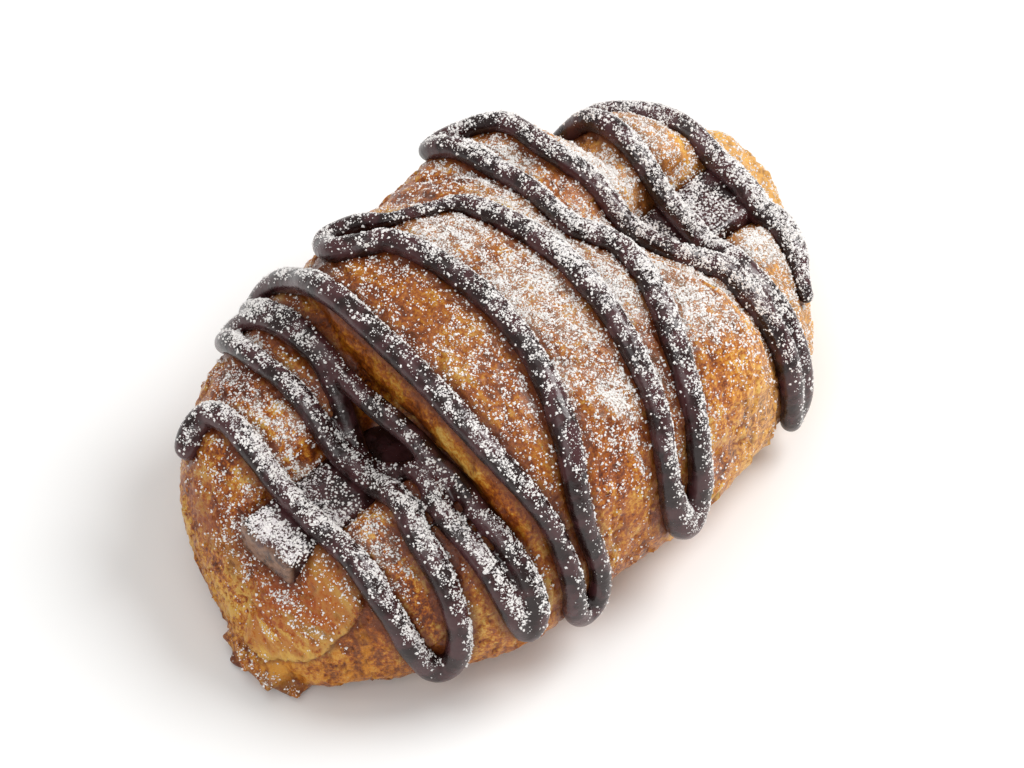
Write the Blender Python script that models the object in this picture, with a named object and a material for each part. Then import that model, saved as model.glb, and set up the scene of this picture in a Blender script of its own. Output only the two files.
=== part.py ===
"""Chocolate croissant: laminated dough folded over one chocolate baton, then striped with thick chocolate.

Frame: X runs along the baton, Y across it with the front at -Y, and Z up from the face that it rests on.
The dough is a union of lofts: a lower body from tip to tip with a valley for the baton, a flap folded up
from the back, and a broad flap folded over it from the front. Sizes in tables are in millimetres.
"""

import math

import bmesh
import bpy
from mathutils import Matrix, Vector
from mathutils.bvhtree import BVHTree

MM = 0.001

# Lower body, from the near tip to the far one: x, back edge, front edge, back roll, front roll, valley floor
BODY = (
    (-59.6, -2, -6, 6, 5, 5),
    (-57.6, 5, -10, 12, 10.5, 10.5),
    (-55.5, 12.5, -14, 20, 16.5, 17),
    (-50, 24, -20, 28.5, 23, 22),
    (-40, 32.5, -28.5, 34.5, 29, 24),
    (-28, 36, -34, 38, 33, 24),
    (-16, 37, -35, 42, 36, 30),
    (8, 38, -33.5, 44, 36, 36),
    (20, 39, -32, 45.5, 34, 38),
    (28, 37, -31.5, 46.5, 32, 34),
    (31.5, 33, -29.5, 42.5, 31, 28),
    (35, 29, -29, 37, 30, 25),
    (43, 28, -25, 41, 29, 25.5),
    (51, 22, -17.5, 35, 26, 25),
    (57, 20.5, -10, 27.5, 21.5, 21.5),
    (60.5, 19.5, -4, 25, 20.5, 20.5),
    (63, 17.5, 1.5, 22.5, 19.5, 19.5),
    (64.3, 15, 6, 19, 17, 17),
)
VALLEY_MIDDLE = -0.5
VALLEY_HALF_WIDTH = 7.2
VALLEY_POWER = 6
BELLY_SHARE = 0.4

# Front flap, along its arc from under the front edge to its tucked end at the back: share, left x, right x
FRONT_FLAP = (
    (0, -24.5, 27),
    (0.2, -25, 28),
    (0.4, -26, 28.5),
    (0.6, -26.4, 22.5),
    (0.8, -23, 6.5),
    (1, -14, -2),
)
FRONT_FLAP_REACH = (36, 35)
FRONT_FLAP_CREST = 48.5
# Back flap, along its arc from under the back edge: share, left x, right x
BACK_FLAP = (
    (0, -14, 19),
    (0.5, -14, 24),
    (0.8, -14, 21.5),
    (1, -14, 16),
)
BACK_FLAP_REACH = (35.5, 35)
BACK_FLAP_CREST = 45.5
FLAP_THICKNESS = 14.5
FLAP_BELLY = 15

# Baton: a long bar of chocolate, tilted a little, with both ends showing
BATON = (106.5, 12, 6.5)
BATON_NEAR_END = (-53.8, 26)
BATON_FAR_END = (52, 29.5)
BATON_GAP = 0.3

# Chocolate strand, in the order that it was laid. Each leg crosses the pastry through places of x, angle and
# radius. An angle is measured at STRAND_AXIS_Z from the back (0) over the top (90) to the front (180)
STRAND_LEGS = (
    ((-49.5, 20, 2.1), (-47.5, 25, 2.4), (-44.3, 31, 2.3), (-43.6, 40, 2.1), (-44.7, 52, 2.1), (-45.3, 70, 2.1),
     (-46.2, 100, 2.1), (-46, 120, 2.1), (-46.5, 142, 2.3), (-46.4, 160, 2.2), (-45.7, 174, 2.2), (-44, 187, 2.1)),
    ((-40.6, 189, 2.1), (-39.4, 176, 2.1), (-38.7, 159, 2), (-37.7, 142, 2.3), (-36.4, 130, 2.3), (-34.7, 116, 2.2),
     (-34.2, 88, 2), (-34.5, 66, 1.9), (-34, 52, 1.8), (-33.2, 38, 1.8), (-31.8, 25, 2), (-30.2, 18, 1.8)),
    ((-28.2, 22, 1.7), (-27.3, 33, 1.7), (-27, 46, 1.8), (-27.8, 57, 1.8), (-29.4, 65, 1.8), (-31.4, 78, 1.8),
     (-32.6, 92, 1.8), (-32.5, 103, 1.8), (-30.8, 109, 1.8), (-30, 118, 1.9), (-31.4, 128, 2), (-32.9, 138, 2),
     (-32.7, 150, 2), (-32.7, 160, 2), (-32, 170, 2), (-31, 176, 2)),
    ((-28.4, 176, 2), (-28.2, 165, 1.9), (-28.3, 153, 1.9), (-28.6, 140, 1.8), (-28.2, 130, 1.8), (-28.2, 117, 1.9),
     (-28.1, 105, 1.9), (-28.1, 93, 1.9), (-28.1, 80, 1.8), (-27.8, 70, 1.8), (-26.6, 57, 1.8), (-25.6, 44, 1.8),
     (-25.4, 33, 1.8), (-25, 22, 1.8)),
    ((-20.8, 21, 2), (-19.4, 31, 2.2), (-19.8, 43, 2.2), (-21.6, 57, 2.2), (-22.6, 71, 2.1), (-23.8, 93, 2.1),
     (-24.9, 116, 2.1), (-24.8, 130, 2), (-22.9, 144, 1.9), (-21.3, 157, 1.9), (-21.2, 171, 2), (-20.4, 184, 2)),
    ((-15.6, 184, 2), (-15.6, 173, 1.9), (-16.5, 158, 1.9), (-16.5, 147, 2.1), (-15, 137, 2.3), (-12.4, 127, 2.3),
     (-10, 115, 2.1), (-8.4, 102, 2.1), (-7.7, 90, 2.1), (-8.5, 70, 2.1), (-9.6, 61, 2), (-12.4, 57, 2),
     (-14.6, 53, 2.1), (-15.3, 48, 2)),
    ((-10.6, 43, 1.9), (-8, 48, 1.7), (-6, 56, 1.2), (-2, 59, 1), (2.5, 61, 1.2), (5.2, 65, 1.8), (7.2, 87, 2.1),
     (7, 99, 2.1), (5.3, 113, 2.1), (3.7, 126, 2), (2.2, 140, 2), (0.6, 153, 1.9), (0.3, 166, 2.1), (1.7, 176, 2.6)),
    ((5, 177, 2.6), (6.8, 170, 2.2), (6.8, 159, 2.1), (8.1, 148, 2.1), (10.5, 132, 2.2), (13.8, 119, 2.1),
     (16.2, 107, 2.1), (16, 97, 2), (13.9, 90, 1.9), (14.6, 81, 1.8), (16.1, 69, 1.9), (16.7, 53, 1.9), (16.8, 42, 1.9),
     (15.4, 33, 1.8)),
    ((18.4, 32, 1.8), (22.5, 38, 1.8), (25.4, 45, 1.9), (25.4, 56, 1.9), (27.1, 71, 1.9), (26.9, 90, 1.9),
     (27.8, 108, 2), (30.5, 118, 2.1), (34.5, 128, 2.2), (34.5, 140, 2.3), (34.2, 157, 2.2), (33.7, 170, 2.1),
     (34, 184, 2), (34.2, 191, 1.9)),
    ((36.6, 190, 1.9), (37.2, 175, 2), (38.1, 152, 2), (37.4, 134, 2), (37.6, 116, 2), (38.3, 96, 2), (39.5, 68, 2),
     (40.2, 54, 2), (40.6, 40, 2), (38.5, 30, 2), (36.5, 23, 1.9)),
    ((40, 22, 2), (44, 32, 2), (48.6, 44, 2.1), (51.2, 55, 2.2), (51.5, 67, 2.2), (51, 88, 2.2), (50.2, 110, 2.2),
     (50.5, 124, 2.4), (49.6, 138, 2.3), (47.4, 149, 1.7), (45.7, 157, 1.3), (45.3, 161, 1.4)))
STRAND_AXIS_Z = 14
STRAND_LIFT = 1.1
STRAND_STEP = 4.4
STRAND_OVERLAP = 2
STRAND_END_SHARE = 0.6
STRAND_SMOOTHING = 8
TURN_DROP = 4
# Where the strand spans the gap beside the front flap: near and far x with the height there, and half width
BRIDGE = (-29.2, 35, -25, 38)
BRIDGE_HALF_WIDTH = 11

# Loose layers at the near corner: where each one's corner lies, and which way it points
CORNER_LAYERS = ((-62.6, -3.3, 3.8, -165), (-61.9, -8.2, 2.4, -145), (-59, -12, 1.15, -125))
CORNER_SHEET = (14, 14, 2)

# Facets
BODY_STATIONS = 38
BODY_SIDES = 36
FLAP_STATIONS = 30
FLAP_SIDES = 20
SHARP_FROM = 50


def between(table, place):
    """The row of a table at this place, by a smooth curve through its rows."""
    last = len(table) - 1
    i = 0
    while i < last - 1 and place > table[i + 1][0]:
        i += 1
    before, start, end, after = (table[min(last, max(0, k))] for k in (i - 1, i, i + 1, i + 2))
    width = end[0] - start[0]
    share = min(1.0, max(0.0, (place - start[0]) / width))
    row = []
    for a, b, c, d in zip(before[1:], start[1:], end[1:], after[1:]):
        slope_in = (c - a) / (end[0] - before[0]) * width
        slope_out = (d - b) / (after[0] - start[0]) * width
        square, cube = share ** 2, share ** 3
        row.append(
            (2 * cube - 3 * square + 1) * b
            + (cube - 2 * square + share) * slope_in
            + (3 * square - 2 * cube) * c
            + (cube - square) * slope_out
        )
    return row


def power(value, exponent):
    """A signed power, which squares up a sine wave."""
    return math.copysign(abs(value) ** exponent, value)


def section(angle, half_width, crest, belly):
    """A point of a rounded-off section, by its angle from the back over the top."""
    side, rise = math.cos(angle), math.sin(angle)
    y = half_width * power(side, 0.72)
    if rise < 0:
        return y * (1 - 0.14 * rise * rise), belly * (1 - min(1, 1.05 * abs(rise) ** 0.7))
    return y, belly + (crest - belly) * rise ** 0.72


def loft(name, rings, material):
    """A closed solid through rings of points that all have the same count, given in millimetres."""
    mesh = bmesh.new()
    rows = [[mesh.verts.new(Vector(point) * MM) for point in ring] for ring in rings]
    count = len(rows[0])
    for row, following in zip(rows, rows[1:]):
        for i in range(count):
            j = (i + 1) % count
            mesh.faces.new((row[i], row[j], following[j], following[i]))
    for row in (rows[0], rows[-1]):
        middle = mesh.verts.new(sum((v.co for v in row), Vector()) / count)
        for i in range(count):
            mesh.faces.new((row[i], row[(i + 1) % count], middle))
    bmesh.ops.recalc_face_normals(mesh, faces=mesh.faces)
    bmesh.ops.triangulate(mesh, faces=mesh.faces)
    data = bpy.data.meshes.new(name)
    mesh.to_mesh(data)
    mesh.free()
    data.materials.append(material)
    made = bpy.data.objects.new(name, data)
    bpy.context.scene.collection.objects.link(made)
    return made


def body_point(x, angle):
    """A point of the lower body, by its place along the baton and its angle from the back over the top."""
    back, front, back_crest, front_crest, floor = between(BODY, x)
    middle, half = (back + front) / 2, (back - front) / 2
    across = power(math.cos(angle), 0.72)
    crest = front_crest + (back_crest - front_crest) * (across + 1) / 2
    y, z = section(angle, half, crest, BELLY_SHARE * crest)
    y += middle
    if z > floor:
        z -= (z - floor) / (1 + ((y - VALLEY_MIDDLE) / VALLEY_HALF_WIDTH) ** VALLEY_POWER)
    return x, y, z


def make_body(material):
    rings = []
    start, end = BODY[0][0], BODY[-1][0]
    for i in range(BODY_STATIONS + 1):
        share = (1 - math.cos(math.pi * i / BODY_STATIONS)) / 2
        share = 0.5 * share + 0.5 * i / BODY_STATIONS
        x = start + (end - start) * share
        rings.append([body_point(x, 2 * math.pi * k / BODY_SIDES) for k in range(BODY_SIDES)])
    return loft("body", rings, material)


def flap_point(table, share, turn, angle, reach, crest):
    """A point of a folded flap: its place along the arc, and its turn round the flap's rounded edge."""
    left, right = between(table, share)
    across, depth = power(math.cos(turn), 0.45), power(math.sin(turn), 0.45)
    half_width = reach[0] if math.cos(angle) > 0 else reach[1]
    y, z = section(angle, half_width, crest, FLAP_BELLY)
    out = Vector((0, math.cos(angle) / half_width, math.sin(angle) / crest)).normalized()
    inward = FLAP_THICKNESS / 2 * (1 - depth) + 2.5 * across ** 2 * max(0, depth)
    x = (left + right) / 2 + (right - left) / 2 * across
    return Vector((x, y, z)) - out * inward


def make_flap(name, table, start, end, reach, crest, material):
    rings = []
    for i in range(FLAP_STATIONS + 1):
        share = i / FLAP_STATIONS
        angle = math.radians(start + (end - start) * share)
        turns = [2 * math.pi * k / FLAP_SIDES for k in range(FLAP_SIDES)]
        rings.append([flap_point(table, share, turn, angle, reach, crest) for turn in turns])
    return loft(name, rings, material)


def make_block(name, size, material):
    """A box of this size in millimetres, centred on its own origin."""
    bpy.ops.mesh.primitive_cube_add(size=1)
    block = bpy.context.active_object
    block.name = name
    block.data.name = name
    block.data.transform(Matrix.Diagonal((*(side * MM for side in size), 1)))
    block.data.materials.append(material)
    return block


def make_corner_layers(material):
    """Thin sheets of dough with their corners fanned out past the near tip."""
    sheets = []
    for number, (x, y, height, turn) in enumerate(CORNER_LAYERS):
        sheet = make_block(f"corner_layer_{number + 1}", CORNER_SHEET, material)
        angle = math.radians(turn)
        half_diagonal = CORNER_SHEET[0] / math.sqrt(2)
        centre = (x - half_diagonal * math.cos(angle), y - half_diagonal * math.sin(angle), height)
        sheet.location = Vector(centre) * MM
        sheet.rotation_euler = (0, 0, angle + math.pi / 4)
        sheets.append(sheet)
    return sheets


def dough_surface(pieces):
    """All the dough as one search tree."""
    points, faces = [], []
    for piece in pieces:
        first = len(points)
        points += [piece.matrix_world @ vertex.co for vertex in piece.data.vertices]
        faces += [[first + i for i in face.vertices] for face in piece.data.polygons]
    return BVHTree.FromPolygons(points, faces)


def on_dough(surface, x, angle):
    """Where the strand's centre lies over the dough, at this place and angle round the baton's axis."""
    turn = math.radians(angle)
    out = Vector((0, math.cos(turn), math.sin(turn)))
    axis = Vector((x, 0, STRAND_AXIS_Z)) * MM
    place, normal, _, _ = surface.ray_cast(axis + out * 0.1, -out)
    return place + (normal + out).normalized() * STRAND_LIFT * MM


def smooth_line(points, steps):
    """A smooth curve through these points, as a list of that many steps between each two."""
    line = []
    for i in range(len(points) - 1):
        before, start = points[max(0, i - 1)], points[i]
        end, after = points[i + 1], points[min(len(points) - 1, i + 2)]
        for k in range(steps):
            t = k / steps
            bend = 2 * before - 5 * start + 4 * end - after
            twist = 3 * start - before - 3 * end + after
            line.append((2 * start + (end - before) * t + bend * t ** 2 + twist * t ** 3) / 2)
    return line + [points[-1]]


def evenly(line, step):
    """The same line with points at one even distance."""
    lengths = [0]
    for a, b in zip(line, line[1:]):
        lengths.append(lengths[-1] + (b.xyz - a.xyz).length)
    count = max(2, round(lengths[-1] / step))
    spaced, k = [], 0
    for i in range(count + 1):
        goal = lengths[-1] * i / count
        while k < len(line) - 2 and lengths[k + 1] < goal:
            k += 1
        share = (goal - lengths[k]) / (lengths[k + 1] - lengths[k])
        spaced.append(line[k].lerp(line[k + 1], share))
    return spaced


def strand_routes():
    """For each leg its places of x, angle and radius, led half way round the turns at its ends."""
    legs = [[Vector(place) for place in leg] for leg in STRAND_LEGS]
    for number, leg in enumerate(legs):
        route = list(leg)
        if number:
            route.insert(0, turn_middle(legs[number - 1][-1], leg[0]))
        if number + 1 < len(legs):
            route.append(turn_middle(leg[-1], legs[number + 1][0]))
        yield route


def turn_middle(one, other):
    """The outermost point of the turn between two legs: lower down on the side that it lies on."""
    middle = (one + other) / 2
    return middle + Vector((0, TURN_DROP if middle.y > 90 else -TURN_DROP, 0))


def beyond(end, before):
    """A point a little past the end of a strand, whose radius stays as it is there."""
    step = (end.xyz - before.xyz).normalized() * STRAND_OVERLAP * MM
    return end + Vector((*step, 0))


def make_strand_leg(number, route, surface, material):
    """One leg of the strand: a round tube along evenly spaced points over the dough."""
    points = [
        Vector((*on_dough(surface, x, angle), radius)) for x, angle, radius in smooth_line(route, 8)
    ]
    for _ in range(STRAND_SMOOTHING):
        points[1:-1] = [(a + 2 * b + c) / 4 for a, b, c in zip(points, points[1:], points[2:])]
    points.insert(0, beyond(points[0], points[1]))
    points.append(beyond(points[-1], points[-2]))
    spaced = evenly(points, STRAND_STEP * MM)
    curve = bpy.data.curves.new(f"strand_{number}", "CURVE")
    curve.dimensions = "3D"
    curve.bevel_depth = MM
    curve.bevel_resolution = 2
    curve.use_fill_caps = True
    curve.materials.append(material)
    spline = curve.splines.new("POLY")
    spline.points.add(len(spaced) - 1)
    for target, point in zip(spline.points, spaced):
        target.co = (*point.xyz, 1)
        target.radius = point.w
    spline.points[0].radius *= STRAND_END_SHARE
    spline.points[-1].radius *= STRAND_END_SHARE
    tube = bpy.data.objects.new(curve.name, curve)
    bpy.context.scene.collection.objects.link(tube)
    return as_mesh(tube)


def make_bridge(material):
    """A guide for the strand: the slope on which it spans the gap beside the front flap."""
    low_x, low_z, high_x, high_z = BRIDGE
    y = BRIDGE_HALF_WIDTH
    rings = [[(x, -y, z), (x, y, z), (x, y, z - 4), (x, -y, z - 4)] for x, z in ((low_x, low_z), (high_x, high_z))]
    return loft("strand_guide", rings, material)


def as_mesh(source):
    """A curve, or a mesh with modifiers, turned into a plain closed mesh object."""
    graph = bpy.context.evaluated_depsgraph_get()
    data = bpy.data.meshes.new_from_object(source.evaluated_get(graph))
    mesh = bmesh.new()
    mesh.from_mesh(data)
    bmesh.ops.remove_doubles(mesh, verts=mesh.verts, dist=0.01 * MM)
    bmesh.ops.triangulate(mesh, faces=mesh.faces)
    mesh.to_mesh(data)
    mesh.free()
    made = bpy.data.objects.new(source.name, data)
    made.matrix_world = source.matrix_world
    bpy.context.scene.collection.objects.link(made)
    bpy.data.objects.remove(source)
    return made


def make_baton(name, grown, material):
    """The baton, or with a gap all round it the hole that it lies in."""
    (near_x, near_top), (far_x, far_top) = BATON_NEAR_END, BATON_FAR_END
    baton = make_block(name, [side + 2 * grown for side in BATON], material)
    baton.rotation_euler = (0, math.atan2(near_top - far_top, far_x - near_x), 0)
    baton.location = Vector(((near_x + far_x) / 2, 0, (near_top + far_top - BATON[2]) / 2)) * MM
    return baton


def finish(name, colour, roughness):
    material = bpy.data.materials.new(name)
    material.use_nodes = True
    shader = material.node_tree.nodes["Principled BSDF"]
    shader.inputs["Base Color"].default_value = (*colour, 1)
    shader.inputs["Roughness"].default_value = roughness
    return material


def united(name, pieces):
    """One closed solid from overlapping pieces."""
    first, rest = pieces[0], pieces[1:]
    others = bpy.data.collections.new(name + "_pieces")
    for piece in rest:
        others.objects.link(piece)
    union = first.modifiers.new("union", "BOOLEAN")
    union.operation = "UNION"
    union.operand_type = "COLLECTION"
    union.collection = others
    union.material_mode = "TRANSFER"
    graph = bpy.context.evaluated_depsgraph_get()
    data = bpy.data.meshes.new_from_object(first.evaluated_get(graph))
    made = bpy.data.objects.new(name, data)
    bpy.context.scene.collection.objects.link(made)
    for piece in pieces:
        bpy.data.objects.remove(piece)
    bpy.data.collections.remove(others)
    data.shade_smooth()
    data.set_sharp_from_angle(angle=math.radians(SHARP_FROM))
    return made


def gather(name, pieces):
    """A collection that holds these pieces and is the only one that does."""
    group = bpy.data.collections.new(name)
    bpy.context.scene.collection.children.link(group)
    for piece in pieces:
        for old in list(piece.users_collection):
            old.objects.unlink(piece)
        group.objects.link(piece)


def stand_at_origin(dough, pieces):
    """Parents the pieces to one empty, placed so that the middle of the dough's base is at the origin."""
    corners = [Vector(corner) for corner in dough.bound_box]
    lowest = [min(corner[i] for corner in corners) for i in range(3)]
    highest = [max(corner[i] for corner in corners) for i in range(3)]
    base = bpy.data.objects.new("pastry", None)
    base.location = (-(lowest[0] + highest[0]) / 2, -(lowest[1] + highest[1]) / 2, -lowest[2])
    for piece in pieces:
        piece.parent = base
    return base


def main():
    for old in list(bpy.data.objects):
        bpy.data.objects.remove(old)
    crust = finish("golden_crust", (0.55, 0.25, 0.07), 0.45)
    chocolate = finish("dark_chocolate", (0.05, 0.02, 0.012), 0.4)
    body = make_body(crust)
    front = make_flap("front_flap", FRONT_FLAP, 262, 8, FRONT_FLAP_REACH, FRONT_FLAP_CREST, crust)
    back = make_flap("back_flap", BACK_FLAP, -80, 100, BACK_FLAP_REACH, BACK_FLAP_CREST, crust)
    corner = make_corner_layers(crust)
    baton = make_baton("chocolate_baton", 0, chocolate)
    bridge = make_bridge(crust)
    bpy.context.view_layer.update()
    dough = [body, front, back] + corner
    surface = dough_surface([body, front, back, baton, bridge])
    for number, route in enumerate(strand_routes()):
        dough.append(make_strand_leg(number + 1, route, surface, chocolate))
    croissant = united("croissant", dough)
    hole = make_baton("baton_hole", BATON_GAP, chocolate)
    cut = croissant.modifiers.new("baton_hole", "BOOLEAN")
    cut.operation = "DIFFERENCE"
    cut.object = hole
    guides = [hole, bridge]
    for guide in guides:
        guide.hide_render = True
        guide.display_type = "WIRE"
    base = stand_at_origin(croissant, [croissant, baton] + guides)
    gather("chocolate_croissant", [base, croissant, baton])
    gather("cutters_and_guides", guides)


main()
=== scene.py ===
# %% [markdown]
# # A chocolate croissant
# Flaky dough is folded over one long baton of chocolate, baked golden, striped with thick chocolate and
# dusted with icing sugar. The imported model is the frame: it gives the size, and every piece made here stands
# in for one of its solids. Each step says what the piece is on the real pastry, and why it is made this way.

# %% Load the frame
import math
from itertools import product

import bmesh
import bpy
import numpy as np
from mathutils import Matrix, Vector, noise
from mathutils.bvhtree import BVHTree


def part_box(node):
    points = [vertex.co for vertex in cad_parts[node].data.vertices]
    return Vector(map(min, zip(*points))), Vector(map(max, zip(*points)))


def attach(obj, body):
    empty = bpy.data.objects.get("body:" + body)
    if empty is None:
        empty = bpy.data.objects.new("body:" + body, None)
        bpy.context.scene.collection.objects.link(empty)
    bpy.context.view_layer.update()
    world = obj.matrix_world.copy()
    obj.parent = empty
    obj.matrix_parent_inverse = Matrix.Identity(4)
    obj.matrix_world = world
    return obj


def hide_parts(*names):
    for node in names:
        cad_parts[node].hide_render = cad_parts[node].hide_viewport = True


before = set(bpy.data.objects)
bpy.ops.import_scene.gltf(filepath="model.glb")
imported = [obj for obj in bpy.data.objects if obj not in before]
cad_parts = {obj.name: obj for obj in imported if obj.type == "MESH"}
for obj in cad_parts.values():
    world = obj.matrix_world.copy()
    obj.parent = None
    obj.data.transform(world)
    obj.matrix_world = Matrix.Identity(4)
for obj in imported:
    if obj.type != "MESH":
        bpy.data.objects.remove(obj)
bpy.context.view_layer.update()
MM = 0.001

# %% [markdown]
# The tables of sizes below are in millimetres, with the baton's middle on y = 0. The frame stands with the
# middle of its base at the origin instead, so the baton's own box tells how far the two are apart.

# %% Where the tables' zero lies in the frame
BATON_MIDDLE = Vector((-0.9, 0, 24.5))
baton_low, baton_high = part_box("chocolate_baton")
SHIFT = (Vector(baton_low) + Vector(baton_high)) / 2 / MM - BATON_MIDDLE
print("tables are moved by", [round(value, 2) for value in SHIFT], "mm")

# %% [markdown]
# ## The camera
# The photograph looks down on the near left corner of the pastry through a long lens, so lines that run away
# from the camera hardly draw together.

# %% Camera
CAMERA_AZIMUTH = math.radians(-44)
CAMERA_ELEVATION = math.radians(50)
CAMERA_DISTANCE = 0.9175
CAMERA_TARGET = (SHIFT + Vector((0, 0, 20))) * MM

lens = bpy.data.cameras.new("camera")
lens.lens = 200
lens.sensor_width = 36
camera = bpy.data.objects.new("camera", lens)
bpy.context.scene.collection.objects.link(camera)
level = math.cos(CAMERA_ELEVATION)
towards_camera = Vector((
    math.sin(CAMERA_AZIMUTH) * level, -math.cos(CAMERA_AZIMUTH) * level, math.sin(CAMERA_ELEVATION)))
camera.location = CAMERA_TARGET + towards_camera * CAMERA_DISTANCE
camera.rotation_euler = (-towards_camera).to_track_quat("-Z", "Y").to_euler()
bpy.context.scene.camera = camera
print("camera at", [round(value, 3) for value in camera.location])


# %% [markdown]
# ## Node trees as sums
# Finishes and scattered things are node trees, and most of their nodes only add or multiply. A small class
# wraps a socket, so that the arithmetic can be written as ordinary Python and each operator adds its node.

# %% Fields and trees
class Field:
    """One output socket that takes part in sums."""

    def __init__(self, tree, socket):
        self.tree, self.socket = tree, socket

    def math(self, operation, *values):
        return self.tree.add("ShaderNodeMath", {"operation": operation}, dict(enumerate(values)))[0]

    def __add__(self, other):
        return self.math("ADD", self, other)

    def __sub__(self, other):
        return self.math("SUBTRACT", self, other)

    def __rsub__(self, other):
        return self.math("SUBTRACT", other, self)

    def __mul__(self, other):
        return self.math("MULTIPLY", self, other)

    def __truediv__(self, other):
        return self.math("DIVIDE", self, other)

    def __pow__(self, other):
        return self.math("POWER", self, other)

    __radd__ = __add__

    def between(self, low, high):
        """0 below low and 1 above high, with a soft step between them."""
        values = {"Value": self, "From Min": low, "From Max": high}
        return self.tree.add("ShaderNodeMapRange", {"interpolation_type": "SMOOTHSTEP"}, values)[0]


class Made:
    """A node in a tree, whose outputs come back as fields."""

    def __init__(self, tree, node):
        self.tree, self.node = tree, node

    def __getitem__(self, name):
        return Field(self.tree, self.node.outputs[name])


class Tree:
    """A node tree with one method that adds any node."""

    def __init__(self, nodes):
        self.nodes = nodes

    def add(self, kind, settings=None, values=None):
        node = self.nodes.nodes.new(kind)
        for name, value in (settings or {}).items():
            if name == "stops":
                set_stops(node.color_ramp, value)
            else:
                setattr(node, name, value)
        for name, value in (values or {}).items():
            if isinstance(value, Field):
                self.nodes.links.new(value.socket, node.inputs[name])
            else:
                node.inputs[name].default_value = value
        return Made(self, node)


def set_stops(ramp, stops):
    """Colour stops as (place, (r, g, b)), with at least two of them."""
    for spare in list(ramp.elements)[1:]:
        ramp.elements.remove(spare)
    ramp.elements[0].position = stops[0][0]
    ramp.elements[0].color = (*stops[0][1], 1)
    for place, colour in stops[1:]:
        ramp.elements.new(place).color = (*colour, 1)


# %% [markdown]
# Geometry Nodes trees get their sizes as named inputs. A modifier stores them by each input's identifier, so
# they are set before the piece is evaluated, and the result is kept as a plain mesh with no modifier left.

# %% Geometry trees and plain meshes
def geometry_tree(name, sizes):
    group = bpy.data.node_groups.new(name, "GeometryNodeTree")
    group.interface.new_socket("Geometry", in_out="INPUT", socket_type="NodeSocketGeometry")
    for size in sizes:
        group.interface.new_socket(size, in_out="INPUT", socket_type="NodeSocketFloat")
    group.interface.new_socket("Geometry", in_out="OUTPUT", socket_type="NodeSocketGeometry")
    return Tree(group)


def give_sizes(modifier, sizes):
    for item in modifier.node_group.interface.items_tree:
        if item.in_out == "INPUT" and item.name in sizes:
            modifier[item.identifier] = sizes[item.name]


def plain(piece, name=None):
    """The piece as evaluated, kept as a mesh with no modifiers. The piece itself is removed."""
    name = name or piece.name
    graph = bpy.context.evaluated_depsgraph_get()
    mesh = bpy.data.meshes.new_from_object(piece.evaluated_get(graph))
    bpy.data.meshes.remove(piece.data)
    mesh.name = name
    return placed(name, mesh)


def placed(name, mesh):
    made = bpy.data.objects.new(name, mesh)
    bpy.context.scene.collection.objects.link(made)
    return made


def grown(piece, tree, sizes, name=None):
    modifier = piece.modifiers.new("grown", "NODES")
    modifier.node_group = tree.nodes
    give_sizes(modifier, sizes)
    return plain(piece, name)


# %% [markdown]
# ## The dough
# The lower body runs from tip to tip with a valley for the baton. Each row of the table is one section across
# it. A smooth curve through the rows gives every section between them.

# %% Sizes of the dough
BODY = (  # x, back edge, front edge, back roll, front roll, valley floor
    (-59.6, -2, -6, 6, 5, 5), (-57.6, 5, -10, 12, 10.5, 10.5), (-55.5, 12.5, -14, 20, 16.5, 17),
    (-50, 24, -20, 28.5, 23, 22), (-40, 32.5, -28.5, 34.5, 29, 24), (-28, 36, -34, 38, 33, 24),
    (-16, 37, -35, 42, 36, 30), (8, 38, -33.5, 44, 36, 36), (20, 39, -32, 45.5, 34, 38),
    (28, 37, -31.5, 46.5, 32, 34), (31.5, 33, -29.5, 42.5, 31, 28), (35, 29, -29, 37, 30, 25),
    (43, 28, -25, 41, 29, 25.5), (51, 22, -17.5, 35, 26, 25), (57, 20.5, -10, 27.5, 21.5, 21.5),
    (60.5, 19.5, -4, 25, 20.5, 20.5), (63, 17.5, 1.5, 22.5, 19.5, 19.5), (64.3, 15, 6, 19, 17, 17))
VALLEY_MIDDLE, VALLEY_HALF_WIDTH, VALLEY_POWER = -0.5, 7.2, 6
BELLY_SHARE = 0.4
FRONT_FLAP = (  # share of the flap's arc, left edge, right edge
    (0, -24.5, 27), (0.2, -25, 28), (0.4, -26, 28.5), (0.6, -26.4, 22.5), (0.8, -23, 6.5), (1, -14, -2))
FRONT_ARC, FRONT_REACH, FRONT_CREST = (262, 8), (36, 35), 48.5  # an arc is from one angle to another
BACK_FLAP = ((0, -14, 19), (0.5, -14, 24), (0.8, -14, 21.5), (1, -14, 16))
BACK_ARC, BACK_REACH, BACK_CREST = (-80, 100), (35.5, 35), 45.5
FLAP_THICKNESS, FLAP_BELLY, FLAP_CROWN = 14.5, 15, 2.5
ROUNDNESS, FLAP_ROUNDNESS = 0.72, 0.45  # 1 gives a round section, and less a boxier one
FOOT_TUCK, FOOT_DROP, FOOT_ROUNDNESS = 0.14, 1.05, 0.7
print("dough from x =", BODY[0][0], "to", BODY[-1][0], "mm")

# %% [markdown]
# A section of dough is neither an oval nor a box. A power rule gives every form between the two, and below
# the belly the section tucks in a little, as dough does on a tray. Angles run from the back over the top.

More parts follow.
